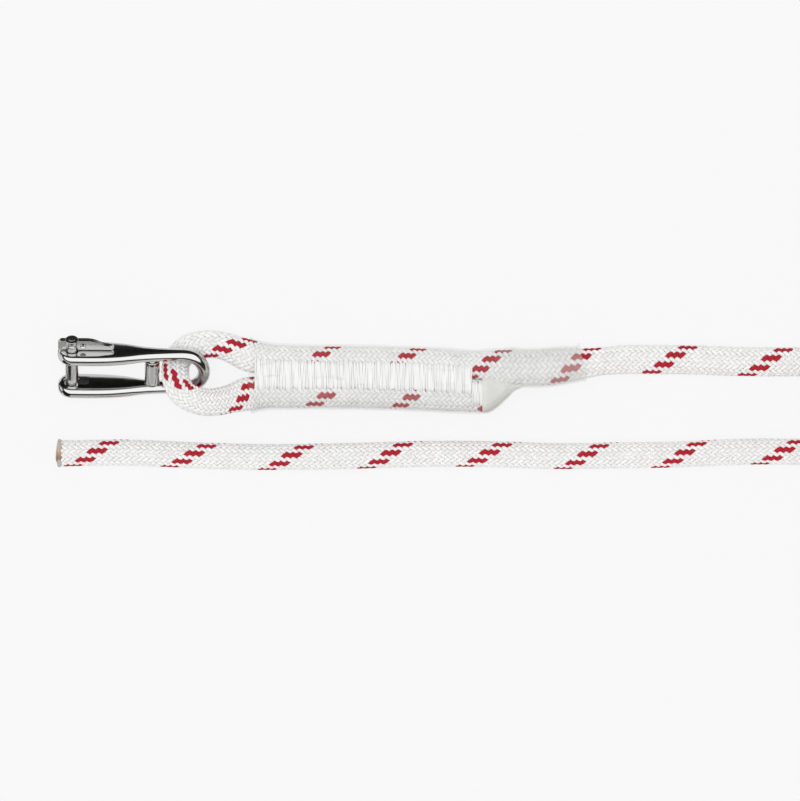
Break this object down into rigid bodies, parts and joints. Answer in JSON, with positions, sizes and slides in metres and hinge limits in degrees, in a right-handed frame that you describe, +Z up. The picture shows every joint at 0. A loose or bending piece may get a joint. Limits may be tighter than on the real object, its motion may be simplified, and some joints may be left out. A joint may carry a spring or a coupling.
{
  "type": "sailing halyard with shackle",
  "caption": "Ready-made halyard: braided rope with a sewn eye under a clear sleeve, a key-pin shackle with a cross bar in the eye, and the spare length in a tied hank.",
  "frame": {"origin": "on the surface the halyard lies on, under the middle of the shackle, eye and sleeve", "axes": "+X from the shackle along the eye to the standing rope, +Y towards the standing leg of the eye, +Z up"},
  "size_m": [0.4235, 0.104, 0.0742],
  "materials": {
    "polished_steel": "polished stainless",
    "rope_cover": "white braid with a red tracer",
    "rope_core": "matte fibre",
    "stitch_thread": "waxed thread",
    "clear_sleeve": "clear film",
    "fused_end": "melted fibre",
    "tie_strap": "woven strap"
  },
  "bodies": {
    "rope": {"eye_cover": "rope_cover", "eye_core": "rope_core", "stitching": "stitch_thread", "shrink_sleeve": "clear_sleeve", "standing_run": "rope_cover", "rope_hank": "rope_cover", "hank_tie": "tie_strap", "tail_run": "rope_cover", "end_seal": "fused_end"},
    "shackle": {"shackle_body": "polished_steel", "cross_bar": "polished_steel"},
    "pin": {"key_pin": "polished_steel"}
  },
  "joints": [
    {"name": "shackle_swing", "type": "hinge", "parent": "rope", "child": "shackle", "pos_m": [-0.04475, 0.00059, 0.00775], "axis": [-0.009, -0.6427, 0.766], "range_deg": [-60, 60]},
    {"name": "pin_turn", "type": "hinge", "parent": "shackle", "child": "pin", "pos_m": [-0.0741, 0.001, 0.00775], "axis": [0.0107, 0.766, 0.6428], "range_deg": [0, 180]}
  ]
}
